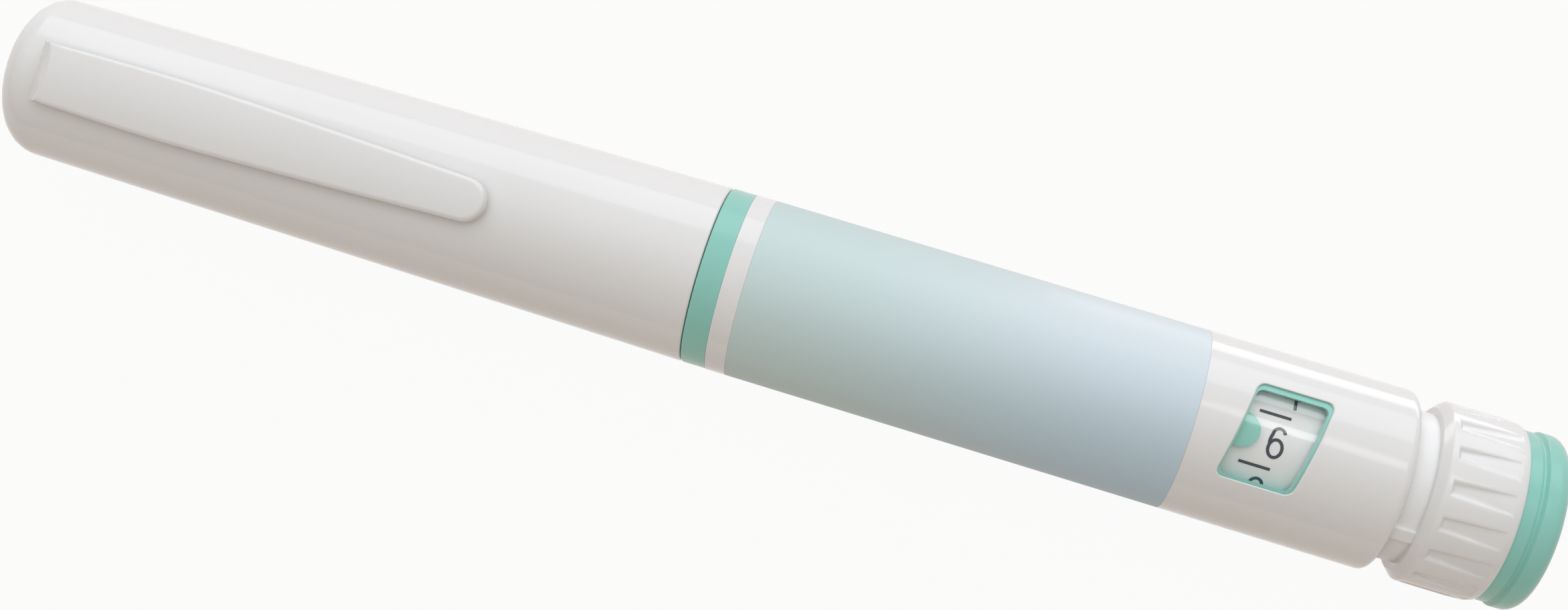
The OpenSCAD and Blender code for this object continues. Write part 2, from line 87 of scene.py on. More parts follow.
def newMaterial(name):
    material = bpy.data.materials.new(name)
    material.use_nodes = True
    material.node_tree.nodes.clear()
    return material, material.node_tree


def perMm(size):  # noise scale for a grain of this many millimetres, on coordinates in metres
    return 1 / (size * mm)


def mouldedPlastic(name, look):
    # Injection-moulded plastic: even colour with faint flow clouds, a fine mould grain
    # that softens the shine, and a slow waviness that bends long reflections a little.
    material, tree = newMaterial(name)
    place = addNode(tree, "TexCoord").outputs["Object"]
    flow = addNode(tree, "TexNoise", inputs={
        "Vector": place, "Scale": perMm(look["flowMm"]), "Detail": 2.0, "Roughness": 0.5})
    grain = addNode(tree, "TexNoise", inputs={
        "Vector": place, "Scale": perMm(look["grainMm"]), "Detail": 3.0, "Roughness": 0.6})
    wave = addNode(tree, "TexNoise", inputs={
        "Vector": place, "Scale": perMm(look["waveMm"]), "Detail": 1.0, "Roughness": 0.4})
    colour = addNode(tree, "Mix", {"data_type": "RGBA"}, {
        "Factor": flow.outputs["Fac"], 6: linear(look["colour"]), 7: linear(look["cloud"])})
    rough = addNode(tree, "MapRange", inputs={
        "Value": grain.outputs["Fac"], "From Min": 0.3, "From Max": 0.7,
        "To Min": look["rough"][0], "To Max": look["rough"][1]})
    slow = addNode(tree, "Bump", inputs={
        "Height": wave.outputs["Fac"], "Strength": 1.0, "Distance": look["waveHeightMm"] * mm})
    fine = addNode(tree, "Bump", inputs={
        "Height": grain.outputs["Fac"], "Strength": 1.0, "Distance": look["grainHeightMm"] * mm,
        "Normal": slow.outputs["Normal"]})
    surface = addNode(tree, "BsdfPrincipled", inputs={
        "Base Color": colour.outputs[2], "Roughness": rough.outputs["Result"],
        "Normal": fine.outputs["Normal"], "IOR": look["ior"],
        "Sheen Weight": look.get("sheen", 0.0), "Sheen Roughness": 0.45,
        "Subsurface Weight": look["glow"], "Subsurface Radius": (1.0, 0.9, 0.8),
        "Subsurface Scale": look["glowMm"] * mm})
    addNode(tree, "OutputMaterial", inputs={"Surface": surface.outputs["BSDF"]})
    return material


whiteLook = {"colour": "#F4F4F3", "cloud": "#F0F0EF", "flowMm": 14, "grainMm": 0.12, "waveMm": 9,
             "rough": (0.1, 0.15), "waveHeightMm": 0.006, "grainHeightMm": 0.0006, "ior": 1.5,
             "glow": 0.12, "glowMm": 0.5}
tealLook = {"colour": "#95D6C9", "cloud": "#9BDACD", "flowMm": 9, "grainMm": 0.12, "waveMm": 7,
            "rough": (0.2, 0.28), "waveHeightMm": 0.004, "grainHeightMm": 0.0006, "ior": 1.42,
            "glow": 0.1, "glowMm": 0.5, "sheen": 0.35}
drumLook = {"colour": "#FBFBFA", "cloud": "#F8F8F7", "flowMm": 8, "grainMm": 0.1, "waveMm": 6,
            "rough": (0.34, 0.44), "waveHeightMm": 0.003, "grainHeightMm": 0.0005, "ior": 1.48,
            "glow": 0.1, "glowMm": 0.7}
acetalLook = {"colour": "#EDEAE3", "cloud": "#E4E0D7", "flowMm": 6, "grainMm": 0.1, "waveMm": 5,
              "rough": (0.4, 0.52), "waveHeightMm": 0.004, "grainHeightMm": 0.001, "ior": 1.48,
              "glow": 0.1, "glowMm": 0.5}
ivoryLook = dict(acetalLook, colour="#DCD2AE", cloud="#D2C69C")
rubberLook = {"colour": "#6B6F72", "cloud": "#5F6367", "flowMm": 3, "grainMm": 0.15, "waveMm": 2,
              "rough": (0.6, 0.78), "waveHeightMm": 0.01, "grainHeightMm": 0.004, "ior": 1.52,
              "glow": 0.0, "glowMm": 0.5}

whiteAbs = mouldedPlastic("whiteMouldedAbs", whiteLook)
tealAbs = mouldedPlastic("tealMouldedAbs", tealLook)
drumPlastic = mouldedPlastic("drumMouldedPbt", drumLook)
whiteAcetal = mouldedPlastic("whiteMouldedAcetal", acetalLook)
ivoryAcetal = mouldedPlastic("ivoryMouldedAcetal", ivoryLook)
greyRubber = mouldedPlastic("greyBromobutylRubber", rubberLook)


def satinLabelFilm():
    # Printed polypropylene film: a pale blue print that fades to a soft green low at the front,
    # with painted light making it paler towards the upper side the lamps face, a fine halftone-like
    # speckle of the print, and a satin varnish.
    look = {"blue": "#C6DEEB", "pale": "#E2EDF2", "green": "#D0E5E3", "speckMm": 0.11}
    material, tree = newMaterial("satinPrintedFilm")
    place = addNode(tree, "TexCoord").outputs["Object"]
    apart = addNode(tree, "SeparateXYZ", inputs={"Vector": place})
    low, high = sizeOf("label")
    along = addNode(tree, "MapRange", {"interpolation_type": "SMOOTHSTEP"}, {
        "Value": apart.outputs["X"], "From Min": low.x * mm, "From Max": high.x * mm})
    # painted light: the blue film is painted paler towards +Y, the upper side that the lamps light,
    # and bluer towards the shaded side
    across = addNode(tree, "MapRange", {"interpolation_type": "SMOOTHSTEP"}, {
        "Value": apart.outputs["Y"], "From Min": low.y * mm, "From Max": high.y * mm})
    printBlueAndLitPale = addNode(tree, "Mix", {"data_type": "RGBA"}, {
        "Factor": across.outputs["Result"], 6: linear(look["blue"]), 7: linear(look["pale"])})
    less = addNode(tree, "Math", {"operation": "MULTIPLY_ADD", "use_clamp": True}, {
        0: along.outputs["Result"], 1: -1.1, 2: 0.95})
    greens = addNode(tree, "Mix", {"data_type": "RGBA"}, {
        "Factor": less.outputs["Value"], 6: printBlueAndLitPale.outputs[2], 7: linear(look["green"])})
    speck = addNode(tree, "TexNoise", inputs={
        "Vector": place, "Scale": perMm(look["speckMm"]), "Detail": 2.0})
    shade = addNode(tree, "MapRange", inputs={
        "Value": speck.outputs["Fac"], "From Min": 0.3, "From Max": 0.7,
        "To Min": 0.985, "To Max": 1.01})
    colour = addNode(tree, "Mix", {"data_type": "RGBA", "blend_type": "MULTIPLY"}, {
        "Factor": 1.0, 6: greens.outputs[2], 7: shade.outputs["Result"]})
    rough = addNode(tree, "MapRange", inputs={
        "Value": speck.outputs["Fac"], "To Min": 0.42, "To Max": 0.54})
    bump = addNode(tree, "Bump", inputs={
        "Height": speck.outputs["Fac"], "Strength": 1.0, "Distance": 0.0006 * mm})
    surface = addNode(tree, "BsdfPrincipled", inputs={
        "Base Color": colour.outputs[2], "Roughness": rough.outputs["Result"],
        "Normal": bump.outputs["Normal"], "IOR": 1.49})
    addNode(tree, "OutputMaterial", inputs={"Surface": surface.outputs["BSDF"]})
    return material


def padPrintedInk():
    # Pad-printed ink: dark slate, nearly matt, a little thinner where the pad lifted.
    material, tree = newMaterial("padPrintedInk")
    place = addNode(tree, "TexCoord").outputs["Object"]
    thin = addNode(tree, "TexNoise", inputs={"Vector": place, "Scale": perMm(0.25), "Detail": 3.0})
    colour = addNode(tree, "Mix", {"data_type": "RGBA"}, {
        "Factor": thin.outputs["Fac"], 6: linear("#2A3744"), 7: linear("#364452")})
    rough = addNode(tree, "MapRange", inputs={
        "Value": thin.outputs["Fac"], "To Min": 0.45, "To Max": 0.65})
    surface = addNode(tree, "BsdfPrincipled", inputs={
        "Base Color": colour.outputs[2], "Roughness": rough.outputs["Result"], "IOR": 1.5})
    addNode(tree, "OutputMaterial", inputs={"Surface": surface.outputs["BSDF"]})
    return material


def clearMoulding(name, look):
    # Clear polished moulding or glass: what lies behind shows through a faint tint, and the
    # surface mirrors the lamps as much as its index asks, with faint smears in the polish.
    material, tree = newMaterial(name)
    place = addNode(tree, "TexCoord").outputs["Object"]
    smear = addNode(tree, "TexNoise", inputs={
        "Vector": place, "Scale": perMm(look["smearMm"]), "Detail": 3.0})
    rough = addNode(tree, "MapRange", inputs={
        "Value": smear.outputs["Fac"], "From Min": 0.35, "From Max": 0.7,
        "To Min": look["rough"][0], "To Max": look["rough"][1]})
    bump = addNode(tree, "Bump", inputs={
        "Height": smear.outputs["Fac"], "Strength": 1.0, "Distance": look["smearHeightMm"] * mm})
    # both sides of a wall mirror alike, for the clear part doesn't bend what is seen through it
    side = addNode(tree, "NewGeometry")
    index = addNode(tree, "MapRange", inputs={
        "Value": side.outputs["Backfacing"], "To Min": look["ior"], "To Max": 1 / look["ior"]})
    edge = addNode(tree, "Fresnel", inputs={"IOR": index.outputs["Result"]})
    through = addNode(tree, "BsdfTransparent", inputs={"Color": linear(look["tint"])})
    mirror = addNode(tree, "BsdfPrincipled", inputs={
        "Base Color": linear(look["shine"]), "Metallic": 1.0,
        "Roughness": rough.outputs["Result"], "Normal": bump.outputs["Normal"]})
    mixed = addNode(tree, "MixShader", inputs={
        0: edge.outputs["Fac"], 1: through.outputs["BSDF"], 2: mirror.outputs["BSDF"]})
    addNode(tree, "OutputMaterial", inputs={"Surface": mixed.outputs["Shader"]})
    return material


def metalFinish(name, look):
    # Bare metal: bright, with drawn or rolled lines round the piece and fine scratches.
    material, tree = newMaterial(name)
    place = addNode(tree, "TexCoord").outputs["Object"]
    squash = addNode(tree, "Mapping", inputs={"Vector": place, "Scale": (1.0, 0.05, 0.05)})
    lines = addNode(tree, "TexNoise", inputs={
        "Vector": squash.outputs["Vector"], "Scale": perMm(look["lineMm"]), "Detail": 3.0})
    colour = addNode(tree, "Mix", {"data_type": "RGBA"}, {
        "Factor": lines.outputs["Fac"], 6: linear(look["colour"]), 7: linear(look["dull"])})
    rough = addNode(tree, "MapRange", inputs={
        "Value": lines.outputs["Fac"], "To Min": look["rough"][0], "To Max": look["rough"][1]})
    bump = addNode(tree, "Bump", inputs={
        "Height": lines.outputs["Fac"], "Strength": 1.0, "Distance": 0.002 * mm})
    surface = addNode(tree, "BsdfPrincipled", inputs={
        "Base Color": colour.outputs[2], "Metallic": 1.0, "Roughness": rough.outputs["Result"],
        "Normal": bump.outputs["Normal"]})
    addNode(tree, "OutputMaterial", inputs={"Surface": surface.outputs["BSDF"]})
    return material


labelFilm = satinLabelFilm()
numberInk = padPrintedInk()
lensClear = clearMoulding("clearPolishedLens", {
    "tint": "#FFFFFF", "shine": "#FFFFFF", "ior": 1.5, "smearMm": 2.5, "rough": (0.06, 0.12),
    "smearHeightMm": 0.0008})
holderClear = clearMoulding("clearMouldedPolycarbonate", {
    "tint": "#F9FCFC", "shine": "#F4FAFC", "ior": 1.58, "smearMm": 3, "rough": (0.12, 0.2),
    "smearHeightMm": 0.004})
drawnGlass = clearMoulding("clearDrawnGlass", {
    "tint": "#FBFDFC", "shine": "#FFFFFF", "ior": 1.49, "smearMm": 6, "rough": (0.02, 0.05),
    "smearHeightMm": 0.002})
crimpAluminium = metalFinish("crimpedAluminium", {
    "colour": "#D6D8DA", "dull": "#C4C7CA", "lineMm": 0.2, "rough": (0.22, 0.38)})
springSteel = metalFinish("drawnSpringSteel", {
    "colour": "#B7BABD", "dull": "#9FA3A7", "lineMm": 0.1, "rough": (0.2, 0.34)})
print("materials made")


# ---- modelling helpers ----

def pickPiece(piece):
    bpy.ops.object.select_all(action="DESELECT")
    bpy.context.view_layer.objects.active = piece
    piece.select_set(True)


def openPiece(piece, kind="VERT"):  # edit mode with nothing selected
    pickPiece(piece)
    bpy.ops.object.mode_set(mode="EDIT")
    bpy.ops.mesh.select_mode(type=kind)
    bpy.ops.mesh.select_all(action="DESELECT")


def closePiece():
    bpy.ops.object.mode_set(mode="OBJECT")


def choose(piece, kind, test):  # selects the corners, edges or faces whose middle passes the test
    shape = bmesh.from_edit_mesh(piece.data)
    bpy.ops.mesh.select_all(action="DESELECT")
    for part in getattr(shape, kind):
        corners = [part] if kind == "verts" else part.verts
        middle = sum((corner.co for corner in corners), Vector()) / len(corners)
        if test(middle, part):
            part.select_set(True)
    shape.select_flush_mode()
    bmesh.update_edit_mesh(piece.data)


def faceOutward(piece):  # a thin shell can come out of the recalculation inside out
    bpy.ops.mesh.select_all(action="SELECT")
    bpy.ops.mesh.normals_make_consistent(inside=False)
    if bmesh.from_edit_mesh(piece.data).calc_volume(signed=True) < 0:
        bpy.ops.mesh.flip_normals()


def softened(outline, steps=6):  # corners (x, r, soft) rounded to the radius soft
    points = []
    for i, corner in enumerate(outline):
        here = Vector(corner[:2])
        soft = corner[2] if len(corner) > 2 else 0
        if not soft:
            points.append(here)
            continue
        back = (Vector(outline[i - 1][:2]) - here).normalized()
        ahead = (Vector(outline[(i + 1) % len(outline)][:2]) - here).normalized()
        half = back.angle(ahead) / 2
        centre = here + (back + ahead).normalized() * soft / math.sin(half)
        start = (here + back * soft / math.tan(half) - centre).normalized()
        end = (here + ahead * soft / math.tan(half) - centre).normalized()
        points += [centre + start.slerp(end, k / steps) * soft for k in range(steps + 1)]
    return points


def drawLine(name, points, place):  # an outline, drawn by extruding one corner from point to point
    bpy.ops.object.select_all(action="DESELECT")
    bpy.ops.mesh.primitive_plane_add(size=1, location=place(points[0]))
    line = bpy.context.object
    line.name = name
    bpy.ops.object.transform_apply(location=True)
    openPiece(line)
    bpy.ops.mesh.select_all(action="SELECT")
    bpy.ops.mesh.merge(type="CENTER")
    for last, now in zip(points, points[1:]):
        step = place(now) - place(last)
        bpy.ops.mesh.extrude_region_move(TRANSFORM_OT_translate={"value": step})
    return line


def turnedPiece(name, outline, steps=96, closed=True):  # outline of (x, r), spun round the axis
    points = softened(outline)
    if closed:
        points.append(points[0])
    piece = drawLine(name, points, lambda p: Vector((p[0], 0, p[1])))
    bpy.ops.mesh.select_all(action="SELECT")
    bpy.ops.mesh.spin(steps=steps, angle=math.tau, center=(0, 0, 0), axis=(1, 0, 0))
    bpy.ops.mesh.select_all(action="SELECT")
    bpy.ops.mesh.remove_doubles(threshold=0.0005)
    faceOutward(piece)
    closePiece()
    return piece


def useModifier(piece, kind, **settings):
    pickPiece(piece)
    bpy.ops.object.modifier_add(type=kind)
    modifier = piece.modifiers[-1]
    for name, value in settings.items():
        setattr(modifier, name, value)
    bpy.ops.object.modifier_apply(modifier=modifier.name)


def combine(piece, other, operation):  # EXACT boolean with a helper, which is then gone
    useModifier(piece, "BOOLEAN", object=other, operation=operation, solver="EXACT")
    bpy.data.objects.remove(other)


def turnPiece(piece, degrees):  # turned about the pen's axis
    pickPiece(piece)
    piece.rotation_euler = (math.radians(degrees), 0, 0)
    bpy.ops.object.transform_apply(rotation=True)


def finishPiece(piece, material, body, nodes=(), sharpAngle=32, even=True):
    pickPiece(piece)
    piece.scale = (mm, mm, mm)
    bpy.ops.object.transform_apply(location=True, rotation=True, scale=True)
    bpy.ops.object.shade_smooth_by_angle(angle=math.radians(sharpAngle))
    if even:
        useModifier(piece, "WEIGHTED_NORMAL", keep_sharp=True, weight=80)
    piece.data.materials.clear()
    piece.data.materials.append(material)
    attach(piece, body)
    if nodes:
        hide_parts(*nodes)
    print("finished", piece.name, len(piece.data.polygons), "faces")


# ---- cap and clip ----

cap = {"wall": 1.0, "endWall": 1.6, "endRadius": 7.87, "endRound": 2.8, "mouthRound": 0.22,
       "turn": 4.2, "slotRoom": 0.6, "slotHigh": 4}
capLow, capHigh = sizeOf("cap_shell")
capMouthR = capHigh.z
capShare = (capMouthR - cap["endRadius"]) / (capHigh.x - capLow.x)


def capRadius(x):
    return cap["endRadius"] + (x - capLow.x) * capShare


def makeCap():
    inner = capLow.x + cap["endWall"]
    shell = turnedPiece("capShell", [
        (capLow.x, 0), (capLow.x, cap["endRadius"], cap["endRound"]),
        (capHigh.x, capMouthR, cap["mouthRound"]),
        (capHigh.x, capMouthR - cap["wall"], 0.1),
        (inner, capRadius(inner) - cap["wall"], 1.0), (inner, 0)], steps=128, closed=False)
    # slot for the clip's tab
    tabMiddle = clip["tabX"] + clip["tabL"] / 2
    bpy.ops.mesh.primitive_cube_add(size=1, location=(tabMiddle, 0, capMouthR))
    slotCutter = bpy.context.object
    slotCutter.scale = (clip["tabL"] + cap["slotRoom"], clip["tabW"] + cap["slotRoom"],
                        cap["slotHigh"])
    combine(shell, slotCutter, "DIFFERENCE")
    turnPiece(shell, cap["turn"])
    finishPiece(shell, whiteAbs, "cap", ["cap_shell"])


clip = {"rootW": 5.7, "wideW": 6.2, "wideShare": 0.32, "tipW": 4.2, "thick": 1.25, "gap": 0.35,
        "crownR": 12, "rootTopDip": 0.57, "rootFootDip": 0.3, "rootSlope": 1.18, "rootRoom": 0.06,
        "columns": 16, "edgeRound": 0.4, "rootRoundShare": 0.45, "rimStrip": 0.45,
        "rowPitch": 0.45, "tabX": -0.7, "tabL": 2.2, "tabW": 3.0, "tabDepth": 1.1}


def clipOutline():  # corners of the clip seen from above, the root's hollow end first
    x0, x1 = clip["x0"], clip["x1"]
    tipR = clip["tipW"] / 2
    wideX = x0 + (x1 - x0) * clip["wideShare"]
    root = []
    for k in range(clip["columns"] + 1):  # from +y to -y
        share = 1 - 2 * k / clip["columns"]
        dip = clip["rootTopDip"] * (1 - share ** 2)
        root.append(Vector((x0 + clip["rootSlope"] + dip, share * clip["rootW"] / 2)))
    side = []
    for k in range(1, 16):
        x = x0 + (x1 - tipR - x0) * k / 15
        if x < wideX:
            share = (x - x0) / (wideX - x0)
            widening = (clip["wideW"] - clip["rootW"]) / 2
            half = clip["rootW"] / 2 + widening * math.sin(share * math.pi / 2)
        else:
            share = (x - wideX) / (x1 - tipR - wideX)
            half = clip["wideW"] / 2 - (clip["wideW"] / 2 - tipR) * share ** 1.25
        side.append(Vector((x, -half)))
    tip = [Vector((x1 - tipR + tipR * math.sin(a), -tipR * math.cos(a)))
           for a in (math.pi * k / 16 for k in range(1, 16))]
    return root + side + tip + [Vector((p.x, -p.y)) for p in reversed(side)]


def insideRim(face):  # off the strip along the rim, which keeps clean edges for the bevel
    return all(abs(wall.normal.z) > 0.5 for corner in face.verts for wall in corner.link_faces)


def makeClip():
    clipLow, clipHigh = sizeOf("pocket_clip")
    clip["x0"], clip["x1"] = clipLow.x, clipHigh.x
    topZ, lowZ = 14, 5
    corners = clipOutline()
    piece = drawLine("pocketClip", corners + [corners[0]], lambda p: Vector((p[0], p[1], lowZ)))
    bpy.ops.mesh.select_all(action="SELECT")
    bpy.ops.mesh.remove_doubles(threshold=0.001)
    bpy.ops.mesh.select_all(action="SELECT")
    bpy.ops.mesh.edge_face_add()
    bpy.ops.mesh.extrude_region_move(TRANSFORM_OT_translate={"value": (0, 0, topZ - lowZ)})
    bpy.ops.mesh.select_mode(type="FACE")
    choose(piece, "faces", lambda middle, face: middle.z > topZ - 0.1)
    bpy.ops.mesh.inset(thickness=clip["rimStrip"])
    for k in range(-6, 7):  # rows that let the top bend, off the rim's strip
        choose(piece, "faces", lambda middle, face: middle.z > topZ - 0.1 and insideRim(face))
        bpy.ops.mesh.bisect(plane_co=(0, k * clip["rowPitch"], 0), plane_no=(0, 1, 0))
    faceOutward(piece)
    closePiece()
    # the top is pressed on a crowned form that rises with the cap's taper
    lean = math.atan(capShare)
    crown = piece.vertex_groups.new(name="crown")
    crown.add([v.index for v in piece.data.vertices if v.co.z > topZ - 0.1], 1, "ADD")
    lowest = capRadius(clip["x0"]) + clip["gap"]
    crownZ = lowest + clip["thick"] - clip["crownR"]
    bpy.ops.mesh.primitive_cylinder_add(vertices=720, radius=clip["crownR"], depth=200,
                                        rotation=(0, math.pi / 2 - lean, 0),
                                        location=(clip["x0"] - 1, 0, crownZ))
    form = bpy.context.object
    useModifier(piece, "SHRINKWRAP", target=form, wrap_method="PROJECT", use_project_z=True,
                use_negative_direction=True, use_positive_direction=False, vertex_group="crown")
    bpy.data.objects.remove(form)
    # the root slopes out towards the cap
    openPiece(piece)
    for k in range(clip["columns"] + 1):
        share = 1 - 2 * k / clip["columns"]
        y = share * clip["rootW"] / 2
        topAt = crownZ + math.sqrt(clip["crownR"] ** 2 - y ** 2)
        high = topAt - math.sqrt(lowest ** 2 - y ** 2)
        hollow = (clip["rootTopDip"] - clip["rootFootDip"]) * (1 - share ** 2)
        run = clip["rootSlope"] - clip["rootRoom"] + hollow
        choose(piece, "verts", lambda at, v: at.z < lowZ + 0.1 and at.x < clip["x0"] + 2
               and abs(at.y - y) < 0.01)
        bpy.ops.transform.translate(value=(-run * (topAt - lowZ) / high, 0, 0))
    closePiece()
    openPiece(piece, "EDGE")  # round the top's long sides and tip, and less at the root
    rootTop = clip["x0"] + clip["rootSlope"] + 0.05
    rootEnd = rootTop + clip["rootTopDip"]
    choose(piece, "edges", lambda at, e: at.z > lowZ + 1 and at.x > rootTop
           and len(e.link_faces) == 2 and e.calc_face_angle(0) > math.radians(50))
    bpy.ops.transform.edge_bevelweight(value=1)
    choose(piece, "edges", lambda at, e: at.z > lowZ + 4 and at.x < rootEnd
           and len(e.link_faces) == 2 and e.calc_face_angle(0) > math.radians(20)
           and all(abs(v.co.x - at.x) < 0.2 and v.co.z > lowZ + 3.8 for v in e.verts))
    bpy.ops.transform.edge_bevelweight(value=-1)
    bpy.ops.transform.edge_bevelweight(value=clip["rootRoundShare"])
    closePiece()
    useModifier(piece, "BEVEL", limit_method="WEIGHT", width=clip["edgeRound"], segments=5,
                use_clamp_overlap=False)
    # the underside clears the cap
    a, b = clip["x0"] - 12, clip["x1"] + 3
    under = turnedPiece("under", [(a, 0), (a, capRadius(a) + clip["gap"]),
                                  (b, capRadius(b) + clip["gap"]), (b, 0)],
                        steps=180, closed=False)
    combine(piece, under, "DIFFERENCE")
    # tab that holds the clip in the cap's slot
    tabTop = capRadius(clip["tabX"]) + clip["gap"] + clip["thick"] / 2
    tabLow = capRadius(clip["tabX"]) - clip["tabDepth"]
    bpy.ops.mesh.primitive_cube_add(size=1, location=(
        clip["tabX"] + clip["tabL"] / 2, 0, (tabTop + tabLow) / 2))
    tab = bpy.context.object
    tab.scale = (clip["tabL"], clip["tabW"], tabTop - tabLow)
    combine(piece, tab, "UNION")
    turnPiece(piece, cap["turn"])
    finishPiece(piece, whiteAbs, "clip", ["pocket_clip"], sharpAngle=40)


makeClip()
makeCap()


# ---- housing, ring, label and window ----

body = {"noseR": 7.4, "seatR": 6.78, "noseRound": 0.25, "rearRound": 0.9, "rearBoreR": 7.8,
        "rearBoreL": 5.0, "boreR": 7.5, "labelSeat": 0.09, "labelRoom": 0.01, "filmT": 0.075,
        "edgeSoft": 0.1, "lineSoft": 0.03, "snapAt": 60.7, "snapHalf": 0.5, "snapFoot": 1.0,
        "snapR": 7.62}
window = {"width": 7.1, "height": 9.2, "lean": 1.7, "corner": 0.75, "back": 12.5, "lip": 0.2,
          "left": 0.15, "right": 0.27, "top": 0.57, "foot": 0.36, "slope": (0.12, 0.24),
          "lipDepth": 0.27, "pointerX": -3.13, "pointerR": 1.65, "pointerT": 0.3,
          "lensFloor": 7.54, "lensTop": 0.41, "lensT": 0.09, "frameSoft": 0.06, "shellFit": 0.01,
          "frameFit": 0.02, "slopeFit": 0.015, "pointerFit": (0.08, 0.08, 0.3, 0.3)}
bodyLow, bodyHigh = sizeOf("housing")
bodyR = -bodyLow.z
windowX = bodyHigh.x - window["back"]


def windowPrism(left, right, top, foot, skew=(0, 0)):  # cutter set in from the leaning outline
    halfW, halfH = (window["width"] - left - right) / 2, (window["height"] - top - foot) / 2
    lean = window["lean"] / window["height"]
    midY = (foot - top) / 2
    bpy.ops.object.select_all(action="DESELECT")
    bpy.ops.mesh.primitive_plane_add(size=2, location=(windowX + (left - right) / 2, midY, 2))
    prism = bpy.context.object
    prism.scale = (halfW, halfH, 1)
    bpy.ops.object.transform_apply(location=True, scale=True)
    openPiece(prism)
    for sign in (-1, 1):
        choose(prism, "verts", lambda at, v: (at.y - midY) * sign > 0)
        bpy.ops.transform.translate(value=(lean * (halfH * sign + midY), 0, 0))
    bpy.ops.mesh.select_all(action="SELECT")
    corner = window["corner"] - min(left, right) / 2
    bpy.ops.mesh.bevel(offset_type="OFFSET", offset=corner, segments=8, affect="VERTICES")
    bpy.ops.mesh.select_all(action="SELECT")
    bpy.ops.mesh.extrude_region_move(TRANSFORM_OT_translate={"value": (0, 0, 10)})
    if skew != (0, 0):  # leans over, unmoved at the lens
        for z, share in ((2, window["lensFloor"] - 2), (12, window["lensFloor"] - 12)):
            choose(prism, "verts", lambda at, v: abs(at.z - z) < 0.1)
            bpy.ops.transform.translate(value=(-skew[0] * share, -skew[1] * share, 0))
    faceOutward(prism)
    closePiece()
    return prism


def makeHousing():
    labelLow, labelHigh = sizeOf("label")
    insertLow, insertHigh = sizeOf("threaded_insert")
    x0, x1 = bodyLow.x, bodyHigh.x
    ringX1 = sizeOf("trim_ring")[1].x
    seat = bodyR - body["labelSeat"]
    soft, line = body["edgeSoft"], body["lineSoft"]
    snapAt, snapHalf, snapFoot = body["snapAt"], body["snapHalf"], body["snapFoot"]
    labelX0, labelX1 = labelLow.x - body["labelRoom"], labelHigh.x + body["labelRoom"]
    shell = turnedPiece("housingShell", [
        (x0, body["seatR"]), (x0, body["noseR"], body["noseRound"]),
        (snapAt - snapFoot, body["noseR"]), (snapAt - snapHalf, body["snapR"], 0.2),
        (snapAt + snapHalf, body["snapR"], 0.2), (snapAt + snapFoot, body["noseR"]),
        (ringX1, body["noseR"]), (ringX1, bodyR, soft), (labelX0, bodyR, line),
        (labelX0, seat), (labelX1, seat), (labelX1, bodyR, line),
        (x1, bodyR, body["rearRound"]), (x1, body["rearBoreR"], line),
        (x1 - body["rearBoreL"], body["rearBoreR"]), (x1 - body["rearBoreL"], body["boreR"]),
        (insertLow.x, body["boreR"]), (insertLow.x, body["seatR"])], steps=80)
    combine(shell, windowPrism(*[window["shellFit"]] * 4), "DIFFERENCE")
    openPiece(shell, "EDGE")
    choose(shell, "edges", lambda at, e: abs(at.x - windowX) < 5 and at.z > 5
           and math.hypot(at.y, at.z) > bodyR - 0.05
           and e.calc_face_angle(0) > math.radians(35))
    bpy.ops.transform.edge_bevelweight(value=1)
    closePiece()
    useModifier(shell, "BEVEL", limit_method="WEIGHT", width=window["lip"], segments=5,
                use_clamp_overlap=False)
    finishPiece(shell, whiteAbs, "pen_body", ["housing"])


def makeRingAndLabel():
    low, high = sizeOf("trim_ring")
    ring = turnedPiece("trimRing", [
        (low.x, body["noseR"] + 0.01), (low.x, high.z, 0.14), (high.x, high.z, 0.08),
        (high.x, body["noseR"] + 0.01)], steps=128)
    finishPiece(ring, tealAbs, "pen_body", ["trim_ring"])
    low, high = sizeOf("label")
    film = turnedPiece("labelFilm", [
        (low.x, high.z - body["filmT"]), (low.x, high.z, 0.02), (high.x, high.z, 0.02),
        (high.x, high.z - body["filmT"])], steps=128)
    finishPiece(film, labelFilm, "pen_body", ["label"])


def makeWindow():
    a, b = windowX - 5, windowX + 5
    frameR = bodyR - window["lipDepth"]
    insideR = body["boreR"] + window["frameFit"]
    rim = turnedPiece("windowFrame", [(a, insideR), (a, frameR), (b, frameR), (b, insideR)],
                      steps=90)
    combine(rim, windowPrism(*[window["frameFit"]] * 4), "INTERSECT")
    inner = (window["left"], window["right"], window["top"], window["foot"])
    combine(rim, windowPrism(*inner), "DIFFERENCE")
    sloped = (edge + window["slopeFit"] for edge in inner)
    combine(rim, windowPrism(*sloped, skew=window["slope"]), "DIFFERENCE")
    useModifier(rim, "BEVEL", limit_method="ANGLE", angle_limit=math.radians(30),
                width=window["frameSoft"], segments=3, use_clamp_overlap=True)
    # half-round dose pointer, a disc in the same curve as the lens
    floor = window["lensFloor"]
    pointer = turnedPiece("pointer", [(a, floor), (a, floor + window["pointerT"]),
                                      (b, floor + window["pointerT"]), (b, floor)], steps=90)
    bpy.ops.mesh.primitive_cylinder_add(vertices=96, radius=window["pointerR"], depth=12,
                                        location=(windowX + window["pointerX"], 0, 8))
    combine(pointer, bpy.context.object, "INTERSECT")
    combine(pointer, windowPrism(*window["pointerFit"]), "INTERSECT")
    useModifier(pointer, "BEVEL", limit_method="ANGLE", angle_limit=math.radians(40),
                width=window["frameSoft"], segments=3, use_clamp_overlap=True)
    combine(rim, pointer, "UNION")
    finishPiece(rim, tealAbs, "pen_body", ["window_frame"])
    top = floor + window["lensTop"]
    under = top - window["lensT"]
    lens = turnedPiece("windowLens", [(a, under), (a, top), (b, top), (b, under)], steps=180)
    combine(lens, windowPrism(*(edge - window["frameFit"] for edge in inner)), "INTERSECT")
    finishPiece(lens, lensClear, "pen_body", ["window_lens"])
    lens.visible_shadow = False  # a thin polished plate, it takes next to no light from the drum


